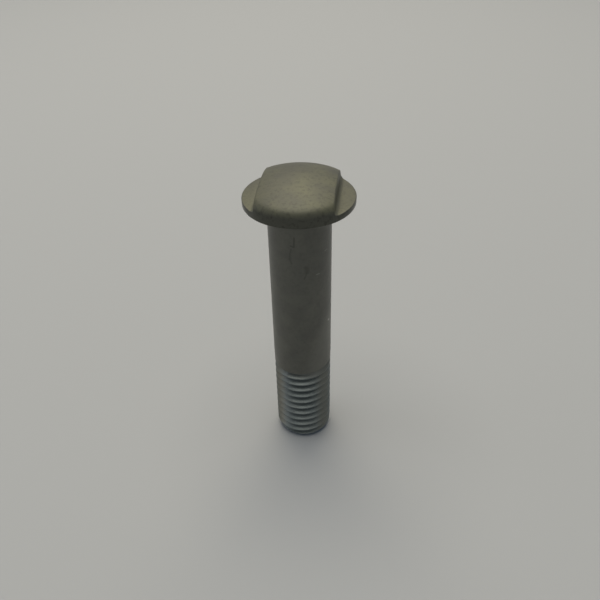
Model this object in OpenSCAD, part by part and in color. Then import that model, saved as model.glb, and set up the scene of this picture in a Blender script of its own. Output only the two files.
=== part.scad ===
// Deflector screw: one solid piece of steel. A round shank ends in a rolled thread,
// and carries a thin round flange with a low domed head, which two parallel flats cut
// down to the flange.
// Millimetres. The origin is the centre of the threaded end face and +Z runs up the
// axis to the head. The flats face +X and -X.

/* [Shank] */
// Diameter of the plain shank, which is the thread's nominal size too
shank_d = 12; // [10:0.1:14]
// Length from the threaded end to the underside of the flange
shank_len = 57; // [45:0.5:90]
// Radius of the fillet that joins the shank to the flange
neck_fillet_r = 0.6; // [0.2:0.1:1]

/* [Thread] */
// Axial distance from one turn of the right-hand thread to the next
thread_pitch = 1.75; // [1:0.05:2]
// Length from the threaded end to the place where the groove has run out
thread_len = 19.6; // [10:0.1:30]
// How far the crests of the thread lie inside the surface of the plain shank
crest_step = 0.04; // [0.02:0.01:0.1]
// Share of a turn in which the groove grows shallow and runs out
runout_turns = 0.5; // [0.1:0.05:1]
// Direction in which the groove leaves the end face, in degrees from +X
thread_start_angle = 338; // [0:1:359]
// Height and depth of the 45 degree chamfer on the threaded end
end_chamfer = 1.3; // [0.4:0.1:1.5]

/* [Flange] */
// Diameter of the flange
flange_d = 20.7; // [19:0.1:28]
// Thickness of the flange
flange_t = 1.2; // [0.8:0.1:3]
// Radius that breaks the lower edge of the rim
rim_edge_r = 0.2; // [0.1:0.05:0.4]

/* [Head] */
// Height of the crown above the flange
crown_h = 3.9; // [3.2:0.1:6]
// Height of the upright wall between the flange and the rounded edge of the crown
crown_wall_h = 0.4; // [0.1:0.1:0.8]
// Radius of the rounded edge between that wall and the dome
crown_edge_r = 1.8; // [0.6:0.1:2.2]
// Width across the two flats, at the flange
flats_w = 14; // [10:0.1:16]
// Angle by which each flat leans inwards
flats_draft = 2.5; // [0:0.5:8]
// Radius of the fillet at the foot of each flat
flats_fillet_r = 0.8; // [0.2:0.1:1]

/* [Hidden] */

steel_colour = [0.45, 0.44, 0.39];

// Smoothness of the turned surfaces
turn_fn = 96;
// Flat sides to one turn of the thread
thread_sides = 40;
// Space that a cutting shape reaches past what it cuts
cut_margin = 1;
// An arc that would only touch its neighbour crosses it by this much instead, so that the
// two surfaces meet in a clean edge
tangent_bite = 0.002;

// Radii and heights along the axis
shank_r = shank_d / 2;
crest_r = shank_r - crest_step;
flange_r = flange_d / 2;
rim_edge_centre = [flange_r - rim_edge_r, shank_len + rim_edge_r];
flange_top = shank_len + flange_t;
crown_wall_top = flange_top + crown_wall_h;
crown_top = flange_top + crown_h;

// The dome is a ball that meets the rounded edge where the line through both centres
// leaves them, so their centres lie apart by the difference of their radii.
crown_edge_centre = [flange_r - crown_edge_r, crown_wall_top];
touching_r = crown_edge_r - tangent_bite;
dome_rise = crown_h - crown_wall_h;
dome_r = (pow(crown_edge_centre[0], 2) + pow(dome_rise, 2) - pow(touching_r, 2))
    / (2 * (dome_rise - touching_r));
dome_centre = [0, crown_top - dome_r];
dome_span = crown_edge_centre - dome_centre;
dome_ray = dome_span / norm(dome_span);

// Foot fillet of a flat: its centre lies one radius above the flange and one radius
// outside the leaning flat.
flats_foot_x = flats_w / 2;
flats_normal = [cos(flats_draft), sin(flats_draft)];
fillet_centre = [
    flats_foot_x + flats_fillet_r * (1 - flats_normal[1]) / flats_normal[0],
    flange_top + flats_fillet_r,
];

// Basic profile of a metric thread: a crest of an eighth of the pitch, a root of a
// quarter, and flanks at 30 degrees to the plane across the axis.
flank_angle = 30;
crest_flat = thread_pitch / 8;
root_flat = thread_pitch / 4;
flank_rise = (thread_pitch - crest_flat - root_flat) / 2;
thread_depth = flank_rise / tan(flank_angle);

// One turn of that profile, from the bottom of the groove upwards, as pairs of
// height above the middle of the groove and depth below the crests
THREAD_PROFILE = [
    [-root_flat / 2, thread_depth],
    [root_flat / 2, thread_depth],
    [root_flat / 2 + flank_rise, 0],
    [root_flat / 2 + flank_rise + crest_flat, 0],
];
profile_rows = len(THREAD_PROFILE);

// The winding starts one turn below the end face and stops one turn past the runout,
// and the blank's outline trims both ends.
first_turn = -1;
last_turn = ceil(thread_len / thread_pitch) + 1;
column_rows = profile_rows * (last_turn - first_turn + 1);
groove_end_angle = 360 * thread_len / thread_pitch;
runout_angle = 360 * runout_turns;

// How deep the groove still is at this angle along its winding, from 1 down to 0
function groove_share(angle) = max(0, min(1, (groove_end_angle - angle) / runout_angle));

// A point of the thread's surface, in cylinder form made into x, y and z
function thread_point(turn_angle, turn, profile) =
    let (
        r = crest_r - profile[1] * groove_share(360 * turn + turn_angle),
        z = thread_pitch * (turn + turn_angle / 360) + profile[0],
        bearing = turn_angle + thread_start_angle
    )
    [r * cos(bearing), r * sin(bearing), z];

// Index of a surface point. The column after the last is the first one, a turn up.
function thread_index(column, row) =
    column < thread_sides
        ? column * column_rows + row
        : row + profile_rows;

// The wound surface of the thread, closed by a fan of faces at each end
module thread_winding() {
    surface_points = [
        for (column = [0 : thread_sides - 1])
            for (turn = [first_turn : last_turn])
                for (profile = THREAD_PROFILE)
                    thread_point(360 * column / thread_sides, turn, profile)
    ];
    bottom_centre = len(surface_points);
    top_centre = bottom_centre + 1;
    top_row = column_rows - 1;
    last_column = thread_sides - 1;
    step_row = top_row - profile_rows;
    end_points = [
        [0, 0, thread_pitch * (first_turn - 1)],
        [0, 0, thread_pitch * (last_turn + 2)],
    ];
    side_faces = [
        for (column = [0 : last_column])
            for (row = [0 : (column < last_column ? top_row : step_row) - 1])
                let (
                    low_left = thread_index(column, row),
                    low_right = thread_index(column + 1, row),
                    high_right = thread_index(column + 1, row + 1),
                    high_left = thread_index(column, row + 1)
                )
                each [
                    [low_left, high_left, high_right],
                    [low_left, high_right, low_right],
                ]
    ];
    bottom_faces = [
        for (column = [0 : last_column])
            [thread_index(column, 0), thread_index(column + 1, 0), bottom_centre],
        for (row = [0 : profile_rows - 1])
            [thread_index(0, row + 1), thread_index(0, row), bottom_centre],
    ];
    top_faces = [
        for (column = [0 : last_column - 1])
            [thread_index(column + 1, top_row), thread_index(column, top_row), top_centre],
        [thread_index(0, top_row), thread_index(last_column, step_row), top_centre],
        for (row = [step_row : top_row - 1])
            [thread_index(last_column, row), thread_index(last_column, row + 1), top_centre],
    ];
    polyhedron(
        points = concat(surface_points, end_points),
        faces = concat(side_faces, bottom_faces, top_faces),
        convexity = 4
    );
}

// The thread: the winding, trimmed to the flat and chamfered end of the blank. Its top
// is rooted in the plain shank, which is a little wider than the crests.
module thread() {
    trim_r = shank_r + cut_margin;
    root_top = thread_len + cut_margin;
    intersection() {
        thread_winding();
        rotate_extrude($fn = turn_fn)
            polygon([
                [0, 0],
                [shank_r - end_chamfer, 0],
                [trim_r, end_chamfer + cut_margin],
                [trim_r, root_top],
                [0, root_top],
            ]);
    }
}

// The plain part of the shank, above the thread. Its top is rooted in the flange.
module plain_shank() {
    root_top = shank_len + flange_t / 2;
    translate([0, 0, thread_len])
        cylinder(h = root_top - thread_len, r = shank_r, $fn = turn_fn);
}

// Fillet in the corner below the flange
module neck_fillet() {
    rotate_extrude($fn = turn_fn)
        difference() {
            translate([0, shank_len - neck_fillet_r])
                square([shank_r + neck_fillet_r, neck_fillet_r]);
            translate([shank_r + neck_fillet_r, shank_len - neck_fillet_r])
                circle(r = neck_fillet_r + tangent_bite, $fn = turn_fn);
        }
}

// Half section of the flange, with its lower edge broken
module flange_section() {
    polygon([
        [0, shank_len],
        [rim_edge_centre[0], shank_len],
        rim_edge_centre,
        [flange_r, rim_edge_centre[1]],
        [flange_r, flange_top],
        [0, flange_top],
    ]);
    intersection() {
        translate(rim_edge_centre)
            circle(r = rim_edge_r, $fn = turn_fn);
        translate([rim_edge_centre[0], shank_len])
            square(rim_edge_r);
    }
}

// Half section of the crown before its flats are cut: a wall that carries on the rim and a
// rounded edge, with the dome over both
module crown_section() {
    dome_reach = dome_r + cut_margin;
    ray_at_flange = (flange_top - dome_centre[1]) * dome_ray[0] / dome_ray[1];
    intersection() {
        translate(dome_centre)
            circle(r = dome_r, $fn = turn_fn);
        union() {
            translate([0, flange_top])
                square([flange_r, crown_wall_h]);
            intersection() {
                translate(crown_edge_centre)
                    circle(r = crown_edge_r, $fn = turn_fn);
                translate([0, crown_wall_top])
                    square([flange_r + cut_margin, crown_h]);
            }
            polygon([
                [0, flange_top],
                [ray_at_flange, flange_top],
                dome_centre + dome_reach * dome_ray,
                [0, crown_top + cut_margin],
            ]);
        }
    }
}

// What is cut away on the +X side, seen along the flat: all that lies above the flange
// and outside the leaning flat, apart from the fillet at its foot
module flat_cut_section() {
    cut_top = crown_top + cut_margin;
    lean = tan(flats_draft) * (cut_top - flange_top);
    fillet_reach = flats_fillet_r + cut_margin;
    flat_side = fillet_centre - fillet_reach * flats_normal;
    flange_side = fillet_centre - [0, fillet_reach];
    difference() {
        polygon([
            [flats_foot_x, flange_top],
            [flange_r + cut_margin, flange_top],
            [flange_r + cut_margin, cut_top],
            [flats_foot_x - lean, cut_top],
        ]);
        difference() {
            polygon([
                fillet_centre,
                flat_side,
                flat_side + flange_side - fillet_centre,
                flange_side,
            ]);
            translate(fillet_centre)
                circle(r = flats_fillet_r + tangent_bite, $fn = turn_fn);
        }
    }
}

// The two cuts that leave the flats, with the flange standing out as a lip beside each
module flat_cuts() {
    cut_len = flange_d + 2 * cut_margin;
    for (side = [0, 1])
        mirror([side, 0, 0])
            translate([0, cut_len / 2, 0])
                rotate([90, 0, 0])
                    linear_extrude(height = cut_len)
                        flat_cut_section();
}

// Flange and crown, turned as one form and then cut by the flats
module flanged_head() {
    difference() {
        rotate_extrude($fn = turn_fn) {
            flange_section();
            crown_section();
        }
        flat_cuts();
    }
}

module deflector_screw() {
    color(steel_colour) {
        thread();
        plain_shank();
        neck_fillet();
        flanged_head();
    }
}

deflector_screw();
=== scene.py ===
# %% [markdown]
# # A flanged screw with a domed, two-flat head
# The object is one piece of steel: a round shank with a rolled thread at its end, a thin round
# flange, and a low domed head that two flats cut down to the flange. It was forged and rolled,
# then blasted and phosphated, so it is matt and dark grey with a touch of olive. This notebook
# models it the way a hand would, one step to a cell, and then gives it its finish, a floor,
# soft light and a camera.

# %% Load the fixed frame
import math

import bmesh
import bpy
import numpy as np
from mathutils import Matrix, Vector


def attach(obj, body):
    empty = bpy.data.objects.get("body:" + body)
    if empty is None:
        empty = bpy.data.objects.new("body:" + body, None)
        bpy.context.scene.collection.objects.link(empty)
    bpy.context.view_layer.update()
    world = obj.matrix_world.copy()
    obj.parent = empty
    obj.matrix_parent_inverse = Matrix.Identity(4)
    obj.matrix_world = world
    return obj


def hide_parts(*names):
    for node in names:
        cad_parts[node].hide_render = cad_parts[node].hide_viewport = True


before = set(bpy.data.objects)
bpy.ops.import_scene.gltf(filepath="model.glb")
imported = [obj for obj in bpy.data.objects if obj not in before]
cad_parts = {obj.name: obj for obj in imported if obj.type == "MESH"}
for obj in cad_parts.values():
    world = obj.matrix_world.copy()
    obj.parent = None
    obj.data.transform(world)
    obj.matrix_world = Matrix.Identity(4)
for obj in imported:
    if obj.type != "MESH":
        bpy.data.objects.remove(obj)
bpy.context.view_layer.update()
print("frame loaded, nodes:", sorted(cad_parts))

# %% [markdown]
# ## Sizes
# Blender's mesh tools weld and snap at about a tenth of a millimetre when one unit is a metre,
# which is as large as the small roundings of this screw. So the screw is drawn with one unit
# to the millimetre and is scaled down to metres when it is finished.

# %% Real sizes of the screw, in millimetres
MM = 0.001

SHANK_R = 6.0
SHANK_LEN = 57.0
NECK_FILLET_R = 0.6

PITCH = 1.75
THREAD_LEN = 19.6
THREAD_START = 338.0
CREST_R = 5.96
END_CHAMFER = 1.3

FLANGE_R = 10.35
FLANGE_TOP = 58.2
RIM_EDGE_R = 0.2

CROWN_TOP = 62.1
CROWN_WALL_TOP = 58.6
CROWN_EDGE_R = 1.8
FLATS_X = 7.0
FLATS_DRAFT = 2.5
FLATS_FILLET_R = 0.8

# %% [markdown]
# ## Two small helpers
# An operator acts on whatever is selected. So each step first clears the selection and then
# picks faces, edges or points by where they lie, which is what a hand does with the mouse.


# %% Helpers: select by place, and draw an arc
def pick(kind, test):
    """Select only the points, edges or faces that pass the test, and say how many there are."""
    bpy.ops.mesh.select_all(action="DESELECT")
    bpy.ops.mesh.select_mode(type=kind)
    work = bmesh.from_edit_mesh(bpy.context.object.data)
    parts = {"VERT": work.verts, "EDGE": work.edges, "FACE": work.faces}[kind]
    chosen = [part for part in parts if test(part)]
    for part in chosen:
        part.select_set(True)
    work.select_flush_mode()
    bmesh.update_edit_mesh(bpy.context.object.data)
    return len(chosen)


def arc(centre, radius, start, end, steps):
    """Points along an arc in a half section, as pairs of radius and height."""
    angles = [math.radians(start + (end - start) * k / steps) for k in range(steps + 1)]
    return [
        (centre[0] + radius * math.cos(a), centre[1] + radius * math.sin(a))
        for a in angles
    ]


# %% [markdown]
# ## The lines that shape the head
# The crown was forged as part of a ball, with a rounded edge that runs down into a short
# upright wall. Each flat leans in a little and ends in a fillet on the flange. Both sections
# are worked out first, because every ring of points takes its place from them.

# %% The crown's half section, from the wall's top to the middle
edge_centre = (FLANGE_R - CROWN_EDGE_R, CROWN_WALL_TOP)
dome_rise = CROWN_TOP - CROWN_WALL_TOP
dome_r = (edge_centre[0] ** 2 + dome_rise**2 - CROWN_EDGE_R**2) / (
    2 * (dome_rise - CROWN_EDGE_R)
)
touch_angle = math.degrees(math.atan2(CROWN_WALL_TOP - CROWN_TOP + dome_r, edge_centre[0]))
EDGE_STEPS, DOME_STEPS = 120, 400  # fine, because places between them are interpolated
section = arc(edge_centre, CROWN_EDGE_R, 0, touch_angle, EDGE_STEPS)
section += arc((0, CROWN_TOP - dome_r), dome_r, touch_angle, 90, DOME_STEPS)[1:]
section_r, section_z = np.array(section).T
section_way = np.concatenate([[0], np.cumsum(np.hypot(np.diff(section_r), np.diff(section_z)))])


def height_at(radius):
    """Height of the crown at this distance from the axis."""
    return np.interp(-radius, -section_r, section_z)


def radius_at(height):
    """Outer radius of the head at this height."""
    return float(np.interp(height, section_z, section_r))


print(f"dome radius {dome_r:.2f} mm, half section {section_way[-1]:.2f} mm long")

# %% The lines along a flat: its fillet, and where each line meets the rim
draft = math.radians(FLATS_DRAFT)
fillet_x = FLATS_X + FLATS_FILLET_R * (1 - math.sin(draft)) / math.cos(draft)
fillet_centre = (fillet_x, FLANGE_TOP + FLATS_FILLET_R)
fillet = arc(fillet_centre, FLATS_FILLET_R, 270, 180 + FLATS_DRAFT, 6)
corner_angles = [math.acos(x / radius_at(z)) for x, z in fillet]
corner_ys = [radius_at(z) * math.sin(a) for (_, z), a in zip(fillet, corner_angles)]

# The way along a flat's upper crease, from its middle to its end, in small steps
CREASE_STEPS = 300
crease_y = np.linspace(0, corner_ys[-1], CREASE_STEPS)
crease_z = height_at(np.hypot(FLATS_X, crease_y))
crease_way = np.concatenate([[0], np.cumsum(np.hypot(np.diff(crease_y), np.diff(crease_z)))])
print("fillet lines at x:", [round(x, 2) for x, _ in fillet])

# %% [markdown]
# ## The plan of the head
# Seen from above, the head is a circle with parallel lines across it at each side: the foot
# of the fillet and the lines above it. If the circle has corners exactly where these lines
# end, joining two corners draws each line and nothing has to be cut.

# %% Draw the circle, with its corners where the lines will end
TURN_SIDES = 148
LIP_STEPS = 17  # steps of a quarter turn along the lip of the flange
PLAN_LINES = 5  # lines of the fillet below the top of the crown's wall

crown_steps = TURN_SIDES // 4 - LIP_STEPS - PLAN_LINES + 1
quarter = np.concatenate(
    [
        np.linspace(0, corner_angles[0], LIP_STEPS + 1),
        corner_angles[1:PLAN_LINES],
        np.linspace(corner_angles[PLAN_LINES - 1], math.pi / 2, crown_steps + 1)[1:],
    ]
)
even_quarter = np.linspace(0, math.pi / 2, len(quarter))

bpy.ops.object.select_all(action="DESELECT")
bpy.ops.mesh.primitive_circle_add(
    vertices=TURN_SIDES, radius=FLANGE_R, fill_type="NGON", location=(0, 0, FLANGE_TOP)
)
screw = bpy.context.object
screw.name = "screw_body"
bpy.ops.object.transform_apply(location=True, rotation=True, scale=True)
bpy.ops.object.mode_set(mode="EDIT")
work = bmesh.from_edit_mesh(screw.data)
for v in work.verts:
    angle = np.interp(math.atan2(abs(v.co.y), abs(v.co.x)), even_quarter, quarter)
    v.co.x = math.copysign(FLANGE_R * math.cos(angle), v.co.x)
    v.co.y = math.copysign(FLANGE_R * math.sin(angle), v.co.y)
bmesh.update_edit_mesh(screw.data)
print("circle with", len(work.verts), "corners")

# %% Join the corners
NEAR = 0.001  # two places closer than this are the same

for x, _ in fillet[:PLAN_LINES]:
    for side in (1, -1):
        found = pick("VERT", lambda v: abs(v.co.x - side * x) < NEAR)
        bpy.ops.mesh.vert_connect_path()
        assert found == 2, "a line has two ends"
print("lines across the plan:", 2 * PLAN_LINES)

# %% Divide the lines, evenly along the crease that will rise from them
LINE_CUTS = 23

pick("EDGE", lambda e: e.verts[0].co.y * e.verts[1].co.y < -1)
bpy.ops.mesh.subdivide(number_cuts=LINE_CUTS)
work = bmesh.from_edit_mesh(screw.data)
for v in work.verts:
    for (x, _), end_y in zip(fillet[:PLAN_LINES], corner_ys):
        if abs(abs(v.co.x) - x) < NEAR:
            way = abs(v.co.y) / end_y * crease_way[-1]
            share = np.interp(way, crease_way, crease_y) / crease_y[-1]
            v.co.y = math.copysign(share * end_y, v.co.y)
bmesh.update_edit_mesh(screw.data)
print("plan of the head:", len(work.verts), "points,", len(work.faces), "faces")

# %% [markdown]
# ## Flange and shank
# What is turned is drawn as a lathe would cut it: the outer ring is extruded down along the
# half section, round the lower edge of the rim, in under the flange, round the neck fillet
# and down the shank. The last step tapers slightly, so that the shank runs into the thread's
# crests without a ledge.

# %% Turn the flange and the shank
SHANK_END = THREAD_LEN + 0.9  # the plain shank ends a little above the runout
SHANK_RING = SHANK_END + 12  # a ring between its ends, which keeps its faces shorter
TAPER_LEN = 1.2  # where it narrows to the crests
TAPER_DEPTH = 0.03  # how far its end lies inside the crests, for a clean union

rim_centre = (FLANGE_R - RIM_EDGE_R, SHANK_LEN + RIM_EDGE_R)
neck_centre = (SHANK_R + NECK_FILLET_R, SHANK_LEN - NECK_FILLET_R)
stations = arc(rim_centre, RIM_EDGE_R, 0, -90, 4)
stations += arc(neck_centre, NECK_FILLET_R, 90, 180, 6)
stations += [(SHANK_R, SHANK_RING), (SHANK_R, SHANK_END + TAPER_LEN)]
stations += [(CREST_R - TAPER_DEPTH, SHANK_END)]

pick("EDGE", lambda e: e.is_boundary)
radius, height = FLANGE_R, FLANGE_TOP
for next_radius, next_height in stations:
    bpy.ops.mesh.extrude_region_move(
        TRANSFORM_OT_translate={"value": (0, 0, next_height - height)}
    )
    scale = next_radius / radius
    bpy.ops.transform.resize(value=(scale, scale, 1), center_override=(0, 0, 0))
    radius, height = next_radius, next_height
bpy.ops.mesh.edge_face_add()
print("turned part ends at", round(height, 2), "mm")

# %% [markdown]
# ## The crown
# The plan is raised in relief: its middle goes up to the top of the crown's wall, and the
# lines beside each flat step down from there to the flange. Then the middle is extruded ring
# by ring: up the rest of the fillets, up the flats to their crease, and over the dome. On the
# dome each ring is moved to its share of the way from the edge to the middle.

# %% Raise the plan, and finish the fillets
line_x, line_z = np.array(fillet[:PLAN_LINES][::-1]).T
work = bmesh.from_edit_mesh(screw.data)
for v in work.verts:
    if v.co.z > FLANGE_TOP - NEAR:
        v.co.z = np.interp(abs(v.co.x), line_x, line_z)
bmesh.update_edit_mesh(screw.data)

pick("FACE", lambda f: abs(f.calc_center_median().x) < 1 and f.calc_center_median().z > FLANGE_TOP)
bpy.ops.mesh.dissolve_faces()
for line in range(PLAN_LINES, len(fillet)):
    (old_x, old_z), (new_x, new_z) = fillet[line - 1 : line + 1]
    bpy.ops.mesh.extrude_region_move()
    work = bmesh.from_edit_mesh(screw.data)
    for v in work.verts:
        if v.select:
            on_line = abs(v.co.x) > old_x - NEAR
            stretch = (corner_ys[line] if on_line else radius_at(new_z)) / (
                corner_ys[line - 1] if on_line else radius_at(old_z)
            )
            v.co = (
                math.copysign(new_x, v.co.x) if on_line else v.co.x * stretch,
                v.co.y * stretch,
                new_z,
            )
    bmesh.update_edit_mesh(screw.data)
print("fillets raised to", round(new_z, 2), "mm")

# %% Where the crown's points lie
top_radius = radius_at(fillet[-1][1])


def crease_radius(angle):
    """Where the dome starts in this direction: at the flat's crease, or at the last ring."""
    radius = top_radius
    for _ in range(8):  # the height and the lean depend on each other, and settle quickly
        leaning_x = FLATS_X - math.tan(draft) * (height_at(radius) - FLANGE_TOP)
        radius = min(leaning_x / max(abs(math.cos(angle)), 1e-6), top_radius)
    return radius


def crown_point(angle, share):
    """The point of the crown at this share of the way from its crease to its middle."""
    start = np.interp(-crease_radius(angle), -section_r, section_way)
    here = start + share * (section_way[-1] - start)
    radius = np.interp(here, section_way, section_r)
    z = np.interp(here, section_way, section_z)
    return radius * math.cos(angle), radius * math.sin(angle), z


print(f"the dome starts {crease_radius(0):.2f} mm out at a flat, {top_radius:.2f} mm elsewhere")

# %% Raise the flats and the dome
CROWN_RINGS = 24
DRAW_BACK = 0.93  # how far the second ring's points keep from the flats, as a share

for ring in range(CROWN_RINGS):
    bpy.ops.mesh.extrude_region_move()
    work = bmesh.from_edit_mesh(screw.data)
    for v in work.verts:
        if v.select:
            # The second ring's points draw back from the flats, to give each crease room.
            at_rim = ring == 1 and math.hypot(v.co.x, v.co.y) > top_radius - NEAR
            angle = math.atan2(v.co.y, v.co.x * (DRAW_BACK if at_rim else 1))
            v.co = crown_point(angle, ring / CROWN_RINGS)
    bmesh.update_edit_mesh(screw.data)
    if ring == 0:  # away from the flats, the first ring lies on the one below it
        bpy.ops.mesh.remove_doubles(threshold=NEAR, use_unselected=True)
print("rings drawn:", CROWN_RINGS)

# %% Close the dome at its middle
bpy.ops.mesh.poke()
work = bmesh.from_edit_mesh(screw.data)
pole = min(work.verts, key=lambda v: math.hypot(v.co.x, v.co.y) - v.co.z)
pole.co = (0, 0, CROWN_TOP)
bmesh.update_edit_mesh(screw.data)
bpy.ops.mesh.select_all(action="SELECT")
bpy.ops.mesh.normals_make_consistent(inside=False)
print("crown raised:", len(work.faces), "faces")

# %% [markdown]
# ## Soft edges
# Blasting rounds every sharp edge by a tenth or two of a millimetre, and such an edge catches
# a thin line of light. The sharp edges of the head form one smooth loop at each side: along
# the lip, up the end of the fillet and over the crease.

# %% Soften the sharp edges
EDGE_BREAK = 0.12
SHARP = math.radians(30)
HEAD_FROM = SHANK_LEN + 0.5  # above the lower edge of the rim, which is round already

found = pick(
    "EDGE",
    lambda e: e.verts[0].co.z > HEAD_FROM and e.calc_face_angle() > SHARP,
)
bpy.ops.mesh.bevel(
    offset=EDGE_BREAK,
    segments=3,
    profile=0.5,
    affect="EDGES",
    clamp_overlap=False,
    loop_slide=False,
)
print("sharp edges softened:", found)

# The lips become triangles, so that no corner lies in the middle of a face's side.
found = pick("FACE", lambda f: f.calc_area() > 10 and f.normal.z > 0.99)
bpy.ops.mesh.quads_convert_to_tris()
bpy.ops.object.mode_set(mode="OBJECT")
print("lips divided:", found)

# %% [markdown]
# ## The thread
# A rolled thread has a rounded root, flanks at 60 degrees to each other and slightly rounded
# crests. One pitch of that profile is drawn as a line, and the Screw modifier winds it up the
# axis. Near the top the groove is lifted out of the metal over half a turn, as the rolling
# dies leave it. It could be cut from the shank with a boolean instead, but then its crests
# would stay sharp.

# %% One pitch of the thread's profile, from crest to crest
THREAD_DEPTH = 0.6134 * PITCH  # with the rounded root of a real thread
ROOT_R = 0.1443 * PITCH
CREST_EDGE_R = 0.12
FLANK_SLOPE = math.tan(math.radians(30))

# One side of the groove, from the middle of its root to the middle of the next crest
side_points = arc((CREST_R - THREAD_DEPTH + ROOT_R, 0), ROOT_R, 180, 120, 3)
foot_r, foot_z = side_points[-1]
crest_start_r = CREST_R - CREST_EDGE_R / 2
crest_start_z = foot_z + (crest_start_r - foot_r) * FLANK_SLOPE
crest_centre = (
    CREST_R - CREST_EDGE_R,
    crest_start_z + CREST_EDGE_R * math.sin(math.radians(60)),
)
side_points += arc(crest_centre, CREST_EDGE_R, -60, 0, 3)
side_points += [(CREST_R, PITCH / 2)]
profile = [(r, -z) for r, z in reversed(side_points[1:])] + side_points
print(f"thread: {THREAD_DEPTH:.3f} mm deep, root radius {ROOT_R:.3f} mm")

# %% Draw the profile, starting from a single point
first_z = -PITCH * (1 + THREAD_START / 360)
bpy.ops.object.select_all(action="DESELECT")
bpy.ops.mesh.primitive_plane_add(
    size=0.1, location=(profile[0][0], 0, first_z + profile[0][1])
)
thread = bpy.context.object
thread.name = "thread_form"
bpy.ops.object.transform_apply(location=True, rotation=True, scale=True)
bpy.ops.object.mode_set(mode="EDIT")
pick("VERT", lambda v: True)
bpy.ops.mesh.merge(type="CENTER")
for (r, z), (next_r, next_z) in zip(profile, profile[1:]):
    bpy.ops.mesh.extrude_region_move(
        TRANSFORM_OT_translate={"value": (next_r - r, 0, next_z - z)}
    )
bpy.ops.object.mode_set(mode="OBJECT")
print("profile of one pitch:", len(thread.data.vertices), "points")

# %% Wind it up the axis
THREAD_SIDES = TURN_SIDES  # as many as the shank has, so that the two meet side by side
thread_top = SHANK_END + 0.4  # the thread reaches into the shank
turns = math.ceil((thread_top - first_z) / PITCH) + 1

winding = thread.modifiers.new("winding", "SCREW")
winding.axis = "Z"
winding.angle = 2 * math.pi
winding.screw_offset = PITCH
winding.iterations = turns
winding.steps = winding.render_steps = THREAD_SIDES
bpy.ops.object.modifier_apply(modifier="winding")

bpy.ops.object.mode_set(mode="EDIT")
bpy.ops.mesh.select_all(action="SELECT")
bpy.ops.mesh.remove_doubles(threshold=NEAR)
print("wound thread:", turns, "turns,", len(thread.data.polygons), "faces")

# %% Let the groove run out
RUNOUT_TURNS = 0.5

work = bmesh.from_edit_mesh(thread.data)
lifted = 0
for v in work.verts:
    angle = math.atan2(v.co.y, v.co.x) / (2 * math.pi) - THREAD_START / 360
    turn = round(v.co.z / PITCH - angle) + angle
    share = min(1, max(0, (THREAD_LEN / PITCH - turn) / RUNOUT_TURNS))
    r = math.hypot(v.co.x, v.co.y)
    lift = min(CREST_R, r + THREAD_DEPTH * (1 - share)) / r
    if lift > 1:
        v.co.x *= lift
        v.co.y *= lift
        lifted += 1
bmesh.update_edit_mesh(thread.data)
print("points lifted in the runout:", lifted)

# %% [markdown]
# ## The end of the screw
# The blank of a rolled screw has a chamfer on its end, so the first turn starts gently. The
# wound form is closed at both ends by a flat cut, and what it shares with a chamfered blank
# is kept. A boolean does that exactly, along curves that would be hard to draw by hand.

# %% Close the thread at both ends
END_SPARE = 0.5  # how far it still reaches past the blank

for height, up in ((-END_SPARE, False), (thread_top + END_SPARE, True)):
    bpy.ops.mesh.select_all(action="SELECT")
    bpy.ops.mesh.bisect(
        plane_co=(0, 0, height),
        plane_no=(0, 0, 1),
        use_fill=True,
        clear_inner=not up,
        clear_outer=up,
        threshold=1e-5,
    )
bpy.ops.mesh.select_all(action="SELECT")
bpy.ops.mesh.normals_make_consistent(inside=False)
bpy.ops.object.mode_set(mode="OBJECT")
print("thread closed:", len(thread.data.polygons), "faces")

# %% Turn the chamfered blank
BLANK_R = SHANK_R + 0.2

bpy.ops.object.select_all(action="DESELECT")
bpy.ops.mesh.primitive_cylinder_add(
    vertices=TURN_SIDES,
    radius=BLANK_R,
    depth=thread_top,
    location=(0, 0, thread_top / 2),
)
blank = bpy.context.object
blank.name = "chamfered_blank"
bpy.ops.object.transform_apply(location=True, rotation=True, scale=True)
bpy.ops.object.mode_set(mode="EDIT")
pick("EDGE", lambda e: all(v.co.z < NEAR for v in e.verts))
bpy.ops.mesh.bevel(offset=BLANK_R - SHANK_R + END_CHAMFER, segments=1, affect="EDGES")
bpy.ops.object.mode_set(mode="OBJECT")
print("blank:", len(blank.data.polygons), "faces")


# %% Trim the thread to the blank, and join it to the shank
def combine(piece, other, operation):
    """Apply a boolean of two closed pieces and remove the second one."""
    bpy.ops.object.select_all(action="DESELECT")
    piece.select_set(True)
    bpy.context.view_layer.objects.active = piece
    step = piece.modifiers.new("combine", "BOOLEAN")
    step.operation = operation
    step.solver = "EXACT"
    step.object = other
    bpy.ops.object.modifier_apply(modifier="combine")
    bpy.data.objects.remove(other)
    print(operation.lower(), "done:", len(piece.data.polygons), "faces in", piece.name)


combine(thread, blank, "INTERSECT")
combine(screw, thread, "UNION")

# %% [markdown]
# ## Finish the mesh
# The last steps are the ones every piece gets: weld, point the faces outwards, shade smooth
# below an angle, and scale to metres about the origin, which is the middle of the end face.

# %% Weld, shade and scale to metres
WELD = 0.006  # slivers from the boolean are narrower than this
# The union gives the same points on each run but not in the same order, so which end of a
# sliver the weld keeps can differ between runs, by less than the value above.
SMOOTH_BELOW = math.radians(35)

bpy.ops.object.mode_set(mode="EDIT")
bpy.ops.mesh.select_all(action="SELECT")
bpy.ops.mesh.remove_doubles(threshold=WELD)
bpy.ops.mesh.normals_make_consistent(inside=False)
bpy.ops.transform.resize(value=(MM, MM, MM), center_override=(0, 0, 0))
bpy.ops.object.mode_set(mode="OBJECT")
bpy.ops.object.shade_smooth_by_angle(angle=SMOOTH_BELOW)
print("welded:", len(screw.data.vertices), "points")

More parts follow.
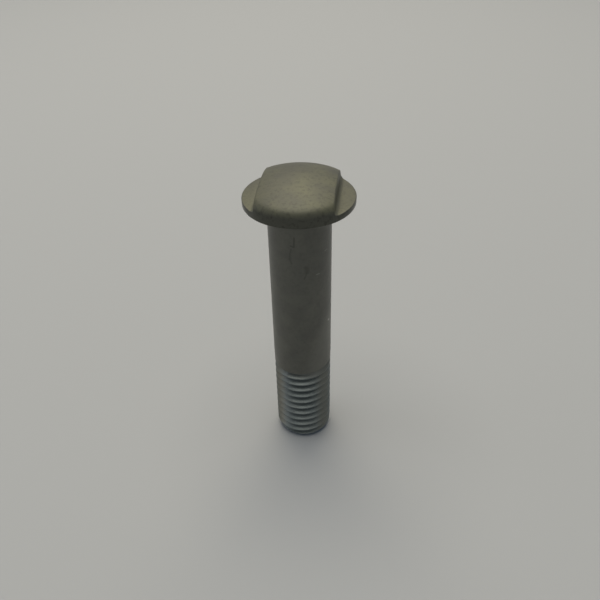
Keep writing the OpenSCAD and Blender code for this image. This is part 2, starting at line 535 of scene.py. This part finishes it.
# %% Measure the finished mesh
work = bmesh.new()
work.from_mesh(screw.data)
open_edges = sum(1 for e in work.edges if len(e.link_faces) != 2)
triangles = sum(len(f.verts) - 2 for f in work.faces)
print(f"screw: {triangles} triangles, {open_edges} open edges, {work.calc_volume() * 1e9:.1f} mm3")
work.free()

# %% [markdown]
# ## Phosphated steel
# The screw is forged and rolled in plain steel, then blasted with grit and given a thin
# phosphate coat, which leaves a dull olive grey. Such a finish could be painted as an image on
# an unwrapped surface. Here it is a shader that works from the place of each point in the
# object, in real millimetres, so that it needs no unwrapping and has no seams. The head, the
# shank and the thread share one material, because it is one coat on one piece, and a point's
# height and its distance from the axis tell where the coat lies thicker or thinner.

# %% Helpers for the materials
def linear(hex_colour):
    """An sRGB hex colour as the linear values that a shader takes."""
    parts = [int(hex_colour[i : i + 2], 16) / 255 for i in (1, 3, 5)]
    return [c / 12.92 if c <= 0.04045 else ((c + 0.055) / 1.055) ** 2.4 for c in parts] + [1]


def add_node(tree, kind, settings=(), inputs=()):
    """Add a node, set its own settings and then its sockets, by values or by links."""
    node = tree.nodes.new(kind)
    for name, value in dict(settings).items():
        setattr(node, name, value)
    for name, value in dict(inputs).items():
        if isinstance(value, bpy.types.NodeSocket):
            tree.links.new(value, node.inputs[name])
        else:
            node.inputs[name].default_value = value
    return node


# %% Start the steel, with its place and height as inputs
# To the eye this is a dull grey with a trace of olive: no clear reflections, only a soft
# sheen along the shank, and bluer, brighter crests where the thread was rolled.
steel = bpy.data.materials.new("phosphated_blasted_steel")
steel.use_nodes = True
tree = steel.node_tree
tree.nodes.clear()
place = add_node(tree, "ShaderNodeTexCoord").outputs["Object"]
height = add_node(tree, "ShaderNodeSeparateXYZ", inputs={0: place}).outputs["Z"]
print("material:", steel.name)


# %% Helpers: noise, mixes and ranges
def vector_math(operation, inputs, output="Vector"):
    """One step of arithmetic on vectors."""
    node = add_node(tree, "ShaderNodeVectorMath", {"operation": operation}, inputs)
    return node.outputs[output]


def noise(size, detail=3.0):
    """Noise whose patches are about this many millimetres wide."""
    return add_node(
        tree,
        "ShaderNodeTexNoise",
        inputs={"Vector": place, "Scale": 1 / (size * MM), "Detail": detail, "Roughness": 0.6},
    ).outputs["Fac"]


def mix(share, first, second):
    """Mix two colours by a share from 0 to 1."""
    return add_node(
        tree, "ShaderNodeMix", {"data_type": "RGBA"}, {0: share, 6: first, 7: second}
    ).outputs[2]


def remap(value, low, high, new_low, new_high):
    """Map a range of values to another one, and hold the ends."""
    return add_node(
        tree,
        "ShaderNodeMapRange",
        inputs={0: value, 1: low, 2: high, 3: new_low, 4: new_high},
    ).outputs[0]


# %% [markdown]
# ## The coat in three zones
# Grit reaches the head best, so its coat is thickest and most olive. The drawn shank keeps a
# smoother and greyer coat, and the rolled thread rubs against other screws in the box, which
# thins the coat on its crests. Three objects with a material each would show a hard line
# between them. Soft masks from the height let one finish flow into the next. The head's
# upright wall is a zone inside the first one, told by its distance from the axis.

# %% Tones of the head, the shank and the thread
HEAD_ZONE = (FLANGE_TOP - 1.6) * MM, (FLANGE_TOP - 1.0) * MM  # starts, and is full
THREAD_ZONE = (THREAD_LEN - 1.6) * MM, THREAD_LEN * MM  # is full, and ends

on_head = remap(height, *HEAD_ZONE, 0, 1)
on_thread = remap(height, *THREAD_ZONE, 1, 0)

cloud = remap(noise(5), 0.35, 0.65, 0, 1)
head_coat = mix(cloud, linear("#4D4E45"), linear("#595A4A"))
shank_coat = mix(cloud, linear("#5B5B55"), linear("#65655D"))
thread_coat = mix(cloud, linear("#636B6D"), linear("#6B7273"))
tone = mix(on_head, mix(on_thread, shank_coat, thread_coat), head_coat)
print("zones of the coat: head, shank, thread")

# %% The upright wall of the head, and the grit pits
# Grit that falls on the head from above misses its upright wall, which keeps more of the
# gloss of the forging die.
WALL_ZONE = (FLANGE_R - 0.24) * MM, (FLANGE_R - 0.02) * MM  # starts, and is full

from_axis = vector_math("LENGTH", {0: vector_math("MULTIPLY", {0: place, 1: (1, 1, 0)})}, "Value")
on_wall = remap(from_axis, *WALL_ZONE, 0, on_head)
# The wall's tone is cooler and more neutral than the crown's: painted light, the cool light that
# an upright face gets.
tone = mix(on_wall, tone, linear("#50514B"))

# Grit pits are a tenth of a millimetre wide. These are coarser, so that they show.
grit = noise(0.6, 2.0)
pit_strength = remap(on_head, 0, 1, 0.12, 0.42)
pits = remap(grit, 0.5, 0.68, 0, pit_strength)
tone = mix(pits, tone, linear("#34342F"))
print("steel so far:", len(tree.nodes), "nodes")

# %% [markdown]
# ## Marks, and painted light on the shank and the thread
# A few dark scratches and a small dent run down the shank, where dirt has settled in the
# coat, and a paler band crosses the shank slantwise above the thread. The left side of the
# thread is painted warmer, as painted light, and its right side darker and greyer, as painted
# shade, and a small painted glint sits on the shank. Such marks could be cut in the mesh, but
# they are far shallower than a line of the mesh is wide. A mask does it: each stroke is a
# line between two points of the surface, and the mask is the distance to that line.


# %% Helpers: strokes on the shank and the thread
STROKE_CORE = 0.3  # share of a stroke's width that is marked in full; the rest fades out


def on_shank(bearing, height_mm):
    """The point of the shank's surface at a bearing in degrees and a height."""
    turn = math.radians(bearing)
    return Vector((SHANK_R * math.cos(turn), SHANK_R * math.sin(turn), height_mm)) * MM


def stroke(start, end, width):
    """A mask that is 1 on the line from start to end and 0 beyond this width, in mm."""
    line = end - start
    offset = vector_math("SUBTRACT", {0: place, 1: start})
    along = vector_math("DOT_PRODUCT", {0: offset, 1: line / line.length_squared}, "Value")
    nearest = vector_math("SCALE", {0: line, "Scale": remap(along, 0, 1, 0, 1)})
    gap = vector_math("DISTANCE", {0: offset, 1: nearest}, "Value")
    return remap(gap, STROKE_CORE * width * MM, width * MM, 1, 0)


def strokes(paths, width):
    """One mask for several paths, each a list of bearings and heights."""
    mask = None
    for path in paths:
        points = [on_shank(*point) for point in path]
        for start, end in zip(points, points[1:]):
            one = stroke(start, end, width)
            mask = one if mask is None else add_node(
                tree, "ShaderNodeMath", {"operation": "MAXIMUM"}, {0: mask, 1: one}
            ).outputs[0]
    return mask


# %% Draw the marks
# Paths of bearings and heights, with the width, the colour and the strength of each group.
# The first is a wide paler band on the shank. The next two are painted warm light on the
# left side of the thread and painted shade on its right side. The others are dark scratches,
# a dent, short pale streaks and a painted highlight, a glint.
MARKS_AND_PAINTED_LIGHT = [
    ([[(-21, 31.5), (-55, 20.2)]], 3.2, "#7C7C75", 0.3),
    # Painted warm light on the left side of the thread.
    ([[(-148, 17), (-148, 3)]], 2.6, "#706C5E", 0.6),
    # Painted shade: the right side of the thread is darker and greyer.
    ([[(-30, 17), (-30, 2)]], 2.8, "#62625A", 0.6),
    ([[(-92.4, 52.7), (-93.2, 50.8), (-99, 51)]], 0.24, "#2A2A27", 0.38),
    ([[(-98.3, 50.3), (-100.8, 49.2), (-100.8, 48), (-98, 47.2)]], 0.24, "#2A2A27", 0.26),
    ([[(-71.5, 46.2), (-71, 45.4)]], 0.7, "#2A2A27", 0.3),
    ([[(-72, 45), (-75.9, 43.9)]], 0.24, "#2A2A27", 0.28),
    ([[(-33, 48.7), (-27, 48.7)], [(-53, 44.3), (-47, 44.3)]], 0.16, "#8C8C84", 0.5),
    # A painted highlight: a small bright glint on the shank.
    ([[(-20, 31.6), (-17, 31.4)]], 0.3, "#B0B0A8", 0.8),
]
for paths, width, colour, strength in MARKS_AND_PAINTED_LIGHT:
    tone = mix(remap(strokes(paths, width), 0, 1, 0, strength), tone, linear(colour))
print("groups of marks:", len(MARKS_AND_PAINTED_LIGHT))

# %% [markdown]
# ## The surface
# Blasted steel scatters the light, and bare steel mirrors it. The coat lies between the two,
# so the shader is part metal and fairly rough, and the rubbed thread is more of a metal and
# smoother. The grain is a bump and not geometry, because it is only hundredths of a
# millimetre deep.

# %% Grain, roughness and metal
# Phosphate crystals are finer than a tenth of a millimetre. The grain is coarser, to show.
GRAIN_DEPTH = 0.00004  # metres

grain = add_node(
    tree,
    "ShaderNodeBump",
    inputs={"Height": noise(0.35), "Strength": 0.45, "Distance": GRAIN_DEPTH},
).outputs["Normal"]

SHANK_ROUGH, THREAD_ROUGH, HEAD_ROUGH, WALL_ROUGH = 0.42, 0.34, 0.5, 0.32
COAT_METAL, THREAD_METAL, WALL_METAL = 0.5, 0.8, 0.9

roughness = remap(on_head, 0, 1, remap(on_thread, 0, 1, SHANK_ROUGH, THREAD_ROUGH), HEAD_ROUGH)
roughness = remap(on_wall, 0, 1, roughness, WALL_ROUGH)
metallic = remap(on_wall, 0, 1, remap(on_thread, 0, 1, COAT_METAL, THREAD_METAL), WALL_METAL)
print("roughness from", WALL_ROUGH, "to", HEAD_ROUGH)

# %% Put the shader together
shader = add_node(
    tree,
    "ShaderNodeBsdfPrincipled",
    inputs={
        "Base Color": tone,
        "Metallic": metallic,
        "Roughness": roughness,
        "Normal": grain,
    },
).outputs["BSDF"]
add_node(tree, "ShaderNodeOutputMaterial", inputs={"Surface": shader})
screw.data.materials.clear()
screw.data.materials.append(steel)
print("steel:", len(tree.nodes), "nodes")

# %% [markdown]
# ## The screw's place in the frame
# The real screw is one piece with no joints, so all of it rides on the root body.

# %% Put the screw in the frame
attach(screw, "root")
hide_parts("deflector_screw")
print("rides on root:", screw.name)

# %% [markdown]
# ## Floor
# The screw stands on a sheet of plain paper. A studio sweep would curve up behind it, but the
# camera looks down so steeply that a flat sheet fills the view, so one large plane is enough.

# %% Lay the sheet
# Matt paper gives the eye no reflection at all, only soft shadows.
SHEET_SIDE = 1.6  # metres

bpy.ops.object.select_all(action="DESELECT")
bpy.ops.mesh.primitive_plane_add(size=SHEET_SIDE, location=(0, 0, 0))
floor = bpy.context.object
floor.name = "floor"
paper = bpy.data.materials.new("matt_paper")
paper.use_nodes = True
paper_shader = paper.node_tree.nodes["Principled BSDF"]
paper_shader.inputs["Base Color"].default_value = linear("#B4B6B6")
paper_shader.inputs["Roughness"].default_value = 0.9
floor.data.materials.append(paper)
print("sheet:", SHEET_SIDE, "m wide")

# %% [markdown]
# ## Light
# A plain studio: one broad warm lamp overhead lights the head and the upper flanks of the
# thread, a second one behind it carries the sheen over the crown, and a weak one far to the
# left lifts that side of the wall and the shank. A single lamp could do only one of the
# three. Cool light from the whole room fills the shadows, which makes them soft and a little
# blue at the foot.


# %% Hang the three lamps
def add_lamp(name, spot, size, power, colour):
    """A round lamp that faces the foot of the screw; metres and watts."""
    light = bpy.data.lights.new(name, "AREA")
    light.shape = "DISK"
    light.size = size
    light.energy = power
    light.color = linear(colour)[:3]
    lamp = bpy.data.objects.new(name, light)
    lamp.location = spot
    lamp.rotation_euler = (-Vector(spot)).to_track_quat("-Z", "Y").to_euler()
    bpy.context.scene.collection.objects.link(lamp)


add_lamp("overhead_lamp", (-0.08, 0.05, 1.0), 1.0, 6, "#FFF8EA")
add_lamp("rear_lamp", (-0.09, 0.61, 0.85), 0.9, 4.3, "#FFF4E0")
add_lamp("left_lamp", (-0.9, -0.05, 0.4), 0.6, 0.6, "#F8F8FF")
print("lamps:", len(bpy.data.lights))

# %% Fill the room
# The camera and reflections see a pale wall, and everything else is lit by a cool ambient.
room = bpy.data.worlds.new("room")
bpy.context.scene.world = room
room.use_nodes = True
room_tree = room.node_tree
room_tree.nodes.clear()
ambient = add_node(
    room_tree, "ShaderNodeBackground", inputs={"Color": linear("#C0D8F8"), "Strength": 0.2}
).outputs[0]
wall = add_node(
    room_tree, "ShaderNodeBackground", inputs={"Color": linear("#B6B5B0"), "Strength": 1}
).outputs[0]
ray = add_node(room_tree, "ShaderNodeLightPath").outputs
wall_seen = add_node(
    room_tree,
    "ShaderNodeMath",
    {"operation": "MAXIMUM"},
    {0: ray["Is Camera Ray"], 1: ray["Is Glossy Ray"]},
).outputs[0]
surroundings = add_node(
    room_tree, "ShaderNodeMixShader", inputs={0: wall_seen, 1: ambient, 2: wall}
).outputs[0]
add_node(room_tree, "ShaderNodeOutputWorld", inputs={"Surface": surroundings})
print("room:", len(room_tree.nodes), "nodes")

# %% [markdown]
# ## Camera
# The view is from the front and above, a little from the right, at about 37 degrees below the
# horizon. The camera could be aimed at the screw by a constraint, but here it stands at a
# measured spot, turned by three measured angles, so that the view can be repeated exactly.

# %% Set up the camera
IMAGE_SIDE = 600  # pixels
FOCAL_LENGTH = 634.69  # pixels
SENSOR_WIDTH = 36  # mm
PITCH_DOWN = math.radians(36.8475)
ROLL = math.radians(-1.4366)
YAW = math.radians(7.9)
CAMERA_SPOT = Vector((13.818, -101.645, 111.43))  # mm

camera_data = bpy.data.cameras.new("camera")
camera_data.sensor_width = SENSOR_WIDTH
camera_data.lens = FOCAL_LENGTH * SENSOR_WIDTH / IMAGE_SIDE
camera_data.clip_start = 0.005
camera = bpy.data.objects.new("camera", camera_data)
bpy.context.scene.collection.objects.link(camera)
camera.matrix_world = (
    Matrix.Translation(CAMERA_SPOT * MM)
    @ Matrix.Rotation(YAW, 4, "Z")
    @ Matrix.Rotation(math.pi / 2 - PITCH_DOWN, 4, "X")
    @ Matrix.Rotation(ROLL, 4, "Z")
)
bpy.context.scene.camera = camera
bpy.context.scene.view_settings.view_transform = "Standard"
print("camera lens:", round(camera_data.lens, 2), "mm")
